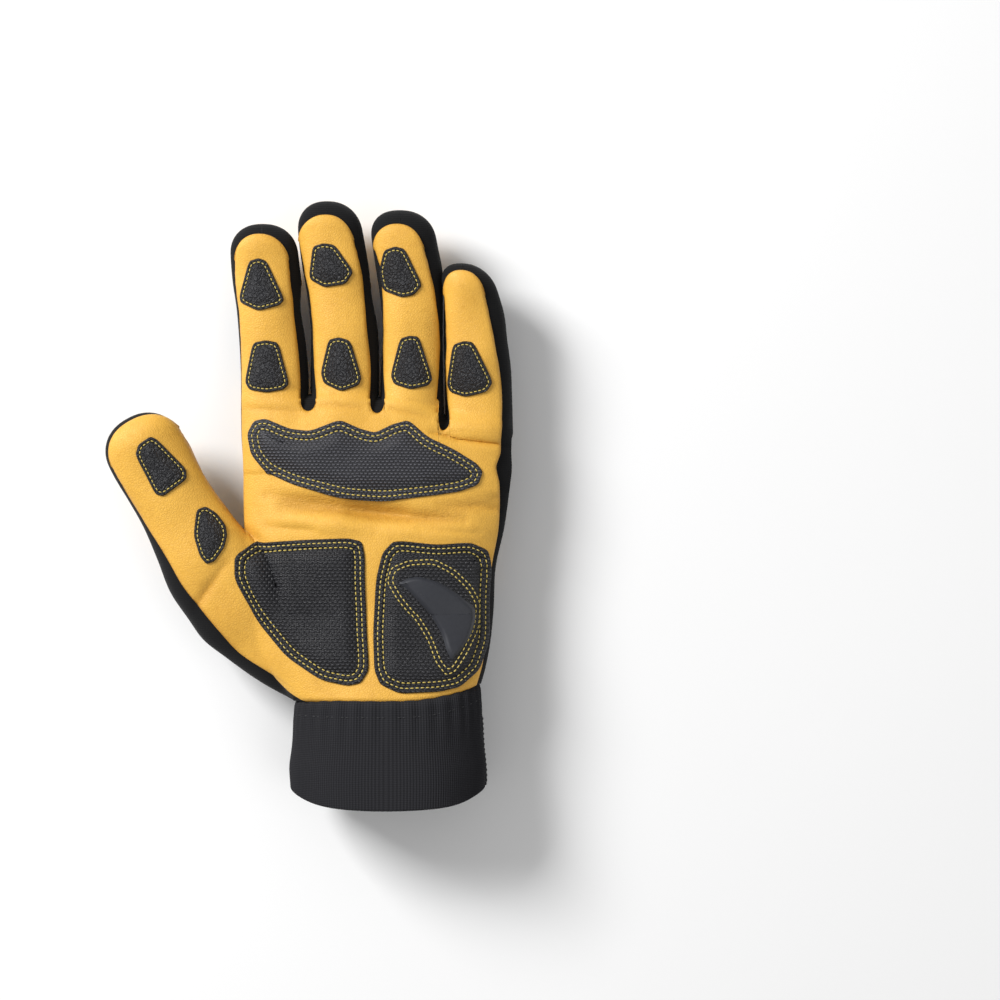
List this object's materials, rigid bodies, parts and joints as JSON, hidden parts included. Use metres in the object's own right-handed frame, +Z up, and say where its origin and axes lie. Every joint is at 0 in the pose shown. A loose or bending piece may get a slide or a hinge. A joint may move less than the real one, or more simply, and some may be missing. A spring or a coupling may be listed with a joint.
{
  "type": "mechanic glove",
  "caption": "Left hand work glove lying palm up, leather palm with sewn grip pads, stretch knit back and elastic wrist cuff with a closed strap.",
  "frame": {"origin": "on the ground under the middle of the glove's box, the glove lying on its back", "axes": "+Y from the cuff to the fingertips, +Z up out of the palm, thumb towards -X, little finger towards +X"},
  "size_m": [0.1614, 0.2422, 0.0446],
  "materials": {
    "palm_leather": "soft grained golden leather",
    "back_leather": "soft grained mustard leather",
    "stretch_knit": "black fine ribbed stretch knit",
    "grip_pad": "pebbled charcoal grip sheet",
    "smooth_rubber": "smooth satin moulded rubber",
    "cuff_elastic": "black ribbed elastic",
    "strap_webbing": "black brushed strap"
  },
  "bodies": {
    "root": {"palm_panel": "palm_leather", "back_panel": "stretch_knit", "fourchette_index_middle": "stretch_knit", "fourchette_middle_ring": "stretch_knit", "fourchette_ring_little": "stretch_knit", "knuckle_panel": "back_leather", "tip_cap_index": "back_leather", "tip_cap_middle": "back_leather", "tip_cap_ring": "back_leather", "thumb_back_panel": "back_leather", "palm_ridge_pad": "grip_pad", "thenar_pad": "grip_pad", "hypothenar_pad": "grip_pad", "tip_pad_index": "grip_pad", "tip_pad_middle": "grip_pad", "tip_pad_ring": "grip_pad", "mid_pad_index": "grip_pad", "mid_pad_middle": "grip_pad", "mid_pad_ring": "grip_pad", "mid_pad_little": "grip_pad", "thumb_tip_pad": "grip_pad", "thumb_lower_pad": "grip_pad", "heel_rubber": "smooth_rubber", "cuff_band": "cuff_elastic", "wrist_strap": "strap_webbing", "strap_tab": "smooth_rubber"}
  },
  "joints": []
}
